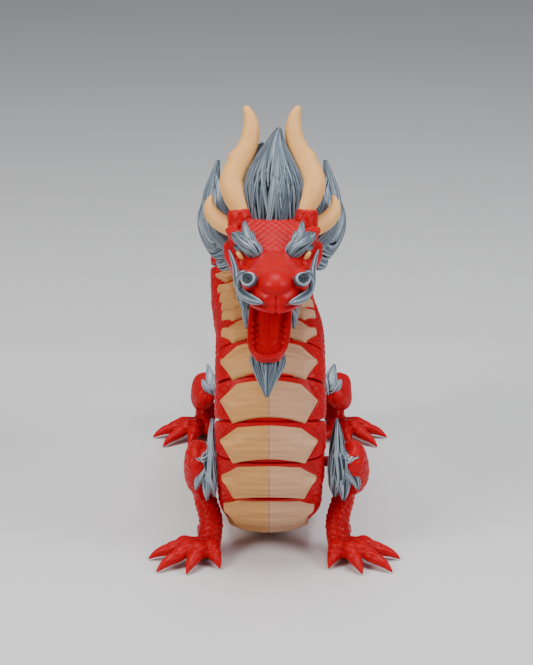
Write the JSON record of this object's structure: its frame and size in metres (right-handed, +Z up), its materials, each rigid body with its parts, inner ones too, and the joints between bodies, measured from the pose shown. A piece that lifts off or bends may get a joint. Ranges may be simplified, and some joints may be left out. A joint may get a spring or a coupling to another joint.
{
  "type": "articulated dragon figure",
  "caption": "Ball-jointed standing dragon figure with a chain body, S-curved neck, open hinged jaw, tall horns, flame mane and clawed legs.",
  "frame": {"origin": "centre of the bounding box footprint, on the floor under the feet", "axes": "+Z up, the dragon faces -Y, its right side (seen from the front: image left) is -X"},
  "size_m": [0.113, 0.3178, 0.1898],
  "materials": {
    "red_plastic": "glossy saturated red printed plastic",
    "tan_plastic": "satin tan printed plastic with fine layer lines",
    "grey_silk": "silky metallic grey printed plastic",
    "pin_plastic": "dark red pin, hidden in the cheeks"
  },
  "bodies": {
    "head": {"skull": "red_plastic", "horn_left": "tan_plastic", "horn_right": "tan_plastic", "ear_horn_left": "tan_plastic", "ear_horn_right": "tan_plastic", "crest_mane": "grey_silk", "cheek_mane_left": "grey_silk", "cheek_mane_right": "grey_silk", "brow_left": "grey_silk", "brow_right": "grey_silk", "whisker_left": "grey_silk", "whisker_right": "grey_silk", "jaw_pin": "pin_plastic"},
    "jaw": {"lower_jaw": "red_plastic", "beard": "grey_silk"},
    "neck_01": {"neck_01": "red_plastic"},
    "neck_02": {"neck_02": "red_plastic"},
    "neck_03": {"neck_03": "red_plastic"},
    "neck_04": {"neck_04": "red_plastic"},
    "neck_05": {"neck_05": "red_plastic"},
    "neck_06": {"neck_06": "red_plastic"},
    "neck_07": {"neck_07": "red_plastic"},
    "neck_08": {"neck_08": "red_plastic"},
    "neck_09": {"neck_09": "red_plastic", "belly_plate_09": "tan_plastic"},
    "neck_10": {"neck_10": "red_plastic", "belly_plate_10": "tan_plastic"},
    "neck_11": {"neck_11": "red_plastic", "belly_plate_11": "tan_plastic"},
    "neck_12": {"neck_12": "red_plastic", "belly_plate_12": "tan_plastic"},
    "neck_13": {"neck_13": "red_plastic", "belly_plate_13": "tan_plastic"},
    "neck_14": {"neck_14": "red_plastic", "belly_plate_14": "tan_plastic"},
    "neck_15": {"neck_15": "red_plastic", "belly_plate_15": "tan_plastic"},
    "body_01": {"body_01": "red_plastic"},
    "body_02": {"body_02": "red_plastic"},
    "body_03": {"body_03": "red_plastic"},
    "body_04": {"body_04": "red_plastic"},
    "body_05": {"body_05": "red_plastic"},
    "body_06": {"body_06": "red_plastic"},
    "body_07": {"body_07": "red_plastic"},
    "tail_01": {"tail_01": "red_plastic"},
    "tail_02": {"tail_02": "red_plastic"},
    "tail_03": {"tail_03": "red_plastic"},
    "tail_04": {"tail_04": "red_plastic"},
    "tail_05": {"tail_05": "red_plastic", "tail_tuft": "grey_silk"},
    "upper_leg_front_left": {"upper_leg_front_left": "red_plastic", "leg_tuft_front_left": "grey_silk"},
    "lower_leg_front_left": {"lower_leg_front_left": "red_plastic"},
    "upper_leg_front_right": {"upper_leg_front_right": "red_plastic", "leg_tuft_front_right": "grey_silk"},
    "lower_leg_front_right": {"lower_leg_front_right": "red_plastic"},
    "upper_leg_hind_left": {"upper_leg_hind_left": "red_plastic"},
    "lower_leg_hind_left": {"lower_leg_hind_left": "red_plastic"},
    "upper_leg_hind_right": {"upper_leg_hind_right": "red_plastic"},
    "lower_leg_hind_right": {"lower_leg_hind_right": "red_plastic"}
  },
  "joints": [
    {"name": "bend_neck_13", "type": "hinge", "parent": "neck_14", "child": "neck_13", "pos_m": [0, -0.11565, 0.05063], "axis": [1, 0, 0], "range_deg": [-8, 3]},
    {"name": "bend_neck_12", "type": "hinge", "parent": "neck_13", "child": "neck_12", "pos_m": [0, -0.11471, 0.0641], "axis": [-1, 0, 0], "range_deg": [-3, 8]},
    {"name": "bend_neck_11", "type": "hinge", "parent": "neck_12", "child": "neck_11", "pos_m": [0, -0.10879, 0.07623], "axis": [1, 0, 0], "range_deg": [-8, 3]},
    {"name": "bend_neck_10", "type": "hinge", "parent": "neck_11", "child": "neck_10", "pos_m": [0, -0.0983, 0.08473], "axis": [-1, 0, 0], "range_deg": [-3, 8]},
    {"name": "bend_neck_09", "type": "hinge", "parent": "neck_10", "child": "neck_09", "pos_m": [0, -0.08532, 0.08845], "axis": [1, 0, 0], "range_deg": [-8, 3]},
    {"name": "bend_neck_08", "type": "hinge", "parent": "neck_09", "child": "neck_08", "pos_m": [-0.00024, -0.07134, 0.08894], "axis": [-1, 0, 0], "range_deg": [-3, 8]},
    {"name": "bend_neck_07", "type": "hinge", "parent": "neck_08", "child": "neck_07", "pos_m": [-0.00098, -0.05736, 0.08869], "axis": [1, 0, 0], "range_deg": [-8, 3]},
    {"name": "bend_neck_06", "type": "hinge", "parent": "neck_07", "child": "neck_06", "pos_m": [-0.00244, -0.04344, 0.08918], "axis": [-1, 0, 0], "range_deg": [-3, 8]},
    {"name": "bend_neck_05", "type": "hinge", "parent": "neck_06", "child": "neck_05", "pos_m": [-0.0039, -0.0302, 0.09348], "axis": [1, 0, 0], "range_deg": [-8, 3]},
    {"name": "bend_neck_04", "type": "hinge", "parent": "neck_05", "child": "neck_04", "pos_m": [-0.00438, -0.02171, 0.10397], "axis": [-1, 0, 0], "range_deg": [-3, 8]},
    {"name": "bend_neck_03", "type": "hinge", "parent": "neck_04", "child": "neck_03", "pos_m": [-0.00347, -0.02081, 0.1169], "axis": [1, 0, 0], "range_deg": [-8, 3]},
    {"name": "bend_neck_02", "type": "hinge", "parent": "neck_03", "child": "neck_02", "pos_m": [-0.00188, -0.02745, 0.12796], "axis": [-1, 0, 0], "range_deg": [-3, 8]},
    {"name": "bend_neck_01", "type": "hinge", "parent": "neck_02", "child": "neck_01", "pos_m": [0, -0.04326, 0.13637], "axis": [1, 0, 0], "range_deg": [-8, 3]},
    {"name": "bend_neck_15", "type": "hinge", "parent": "neck_14", "child": "neck_15", "pos_m": [0, -0.11274, 0.03694], "axis": [0, 0.9205, 0.3907], "range_deg": [-3, 3]},
    {"name": "bend_body_01", "type": "hinge", "parent": "neck_15", "child": "body_01", "pos_m": [0, -0.10435, 0.0245], "axis": [0, -0.682, -0.7314], "range_deg": [-3, 3]},
    {"name": "bend_body_02", "type": "hinge", "parent": "body_01", "child": "body_02", "pos_m": [0, -0.09223, 0.0175], "axis": [0, 0.2924, 0.9563], "range_deg": [-5, 5]},
    {"name": "bend_body_03", "type": "hinge", "parent": "body_02", "child": "body_03", "pos_m": [0, -0.07727, 0.01645], "axis": [0, 0.0175, -0.9998], "range_deg": [-8, 8]},
    {"name": "bend_body_04", "type": "hinge", "parent": "body_03", "child": "body_04", "pos_m": [0, -0.05738, 0.01854], "axis": [0, -0.061, 0.9981], "range_deg": [-8, 8]},
    {"name": "bend_body_05", "type": "hinge", "parent": "body_04", "child": "body_05", "pos_m": [0, -0.03538, 0.01893], "axis": [0, 0.0087, -1], "range_deg": [-8, 8]},
    {"name": "bend_body_06", "type": "hinge", "parent": "body_05", "child": "body_06", "pos_m": [0, -0.01338, 0.01893], "axis": [0, 0, 1], "range_deg": [-8, 8]},
    {"name": "bend_body_07", "type": "hinge", "parent": "body_06", "child": "body_07", "pos_m": [0, 0.00862, 0.01893], "axis": [0, -0.0087, -1], "range_deg": [-8, 8]},
    {"name": "bend_tail_01", "type": "hinge", "parent": "body_07", "child": "tail_01", "pos_m": [0, 0.03262, 0.01851], "axis": [0, 0.0262, 0.9997], "range_deg": [-10, 10]},
    {"name": "bend_tail_02", "type": "hinge", "parent": "tail_01", "child": "tail_02", "pos_m": [0, 0.0546, 0.01774], "axis": [0, -0.0436, -0.999], "range_deg": [-10, 10]},
    {"name": "bend_tail_03", "type": "hinge", "parent": "tail_02", "child": "tail_03", "pos_m": [0, 0.07458, 0.0167], "axis": [0, 0.061, 0.9981], "range_deg": [-10, 10]},
    {"name": "bend_tail_04", "type": "hinge", "parent": "tail_03", "child": "tail_04", "pos_m": [0, 0.09353, 0.01537], "axis": [0, -0.0523, -0.9986], "range_deg": [-10, 10]},
    {"name": "bend_tail_05", "type": "hinge", "parent": "tail_04", "child": "tail_05", "pos_m": [0, 0.11152, 0.01474], "axis": [0, 0, 1], "range_deg": [-10, 10]},
    {"name": "head_nod", "type": "hinge", "parent": "neck_01", "child": "head", "pos_m": [0.00174, -0.06307, 0.13845], "axis": [1, 0, 0], "range_deg": [-12, 3]},
    {"name": "jaw_hinge", "type": "hinge", "parent": "head", "child": "jaw", "pos_m": [0.00174, -0.10107, 0.12345], "axis": [1, 0, 0], "range_deg": [-18, 3]},
    {"name": "shoulder_front_left", "type": "hinge", "parent": "neck_14", "child": "upper_leg_front_left", "pos_m": [-0.029, -0.11135, 0.044], "axis": [1, 0, 0], "range_deg": [-8, 8]},
    {"name": "knee_front_left", "type": "hinge", "parent": "upper_leg_front_left", "child": "lower_leg_front_left", "pos_m": [-0.028, -0.10135, 0.0275], "axis": [1, 0, 0], "range_deg": [-8, 8]},
    {"name": "shoulder_front_right", "type": "hinge", "parent": "neck_14", "child": "upper_leg_front_right", "pos_m": [0.029, -0.11135, 0.044], "axis": [1, 0, 0], "range_deg": [-8, 8]},
    {"name": "knee_front_right", "type": "hinge", "parent": "upper_leg_front_right", "child": "lower_leg_front_right", "pos_m": [0.028, -0.10135, 0.0275], "axis": [1, 0, 0], "range_deg": [-8, 8]},
    {"name": "hip_hind_left", "type": "hinge", "parent": "body_07", "child": "upper_leg_hind_left", "pos_m": [-0.029, 0.03065, 0.026], "axis": [1, 0, 0], "range_deg": [-6, 6]},
    {"name": "knee_hind_left", "type": "hinge", "parent": "upper_leg_hind_left", "child": "lower_leg_hind_left", "pos_m": [-0.0315, 0.04565, 0.022], "axis": [1, 0, 0], "range_deg": [-6, 6]},
    {"name": "hip_hind_right", "type": "hinge", "parent": "body_07", "child": "upper_leg_hind_right", "pos_m": [0.029, 0.03065, 0.026], "axis": [1, 0, 0], "range_deg": [-6, 6]},
    {"name": "knee_hind_right", "type": "hinge", "parent": "upper_leg_hind_right", "child": "lower_leg_hind_right", "pos_m": [0.0315, 0.04565, 0.022], "axis": [1, 0, 0], "range_deg": [-6, 6]}
  ]
}
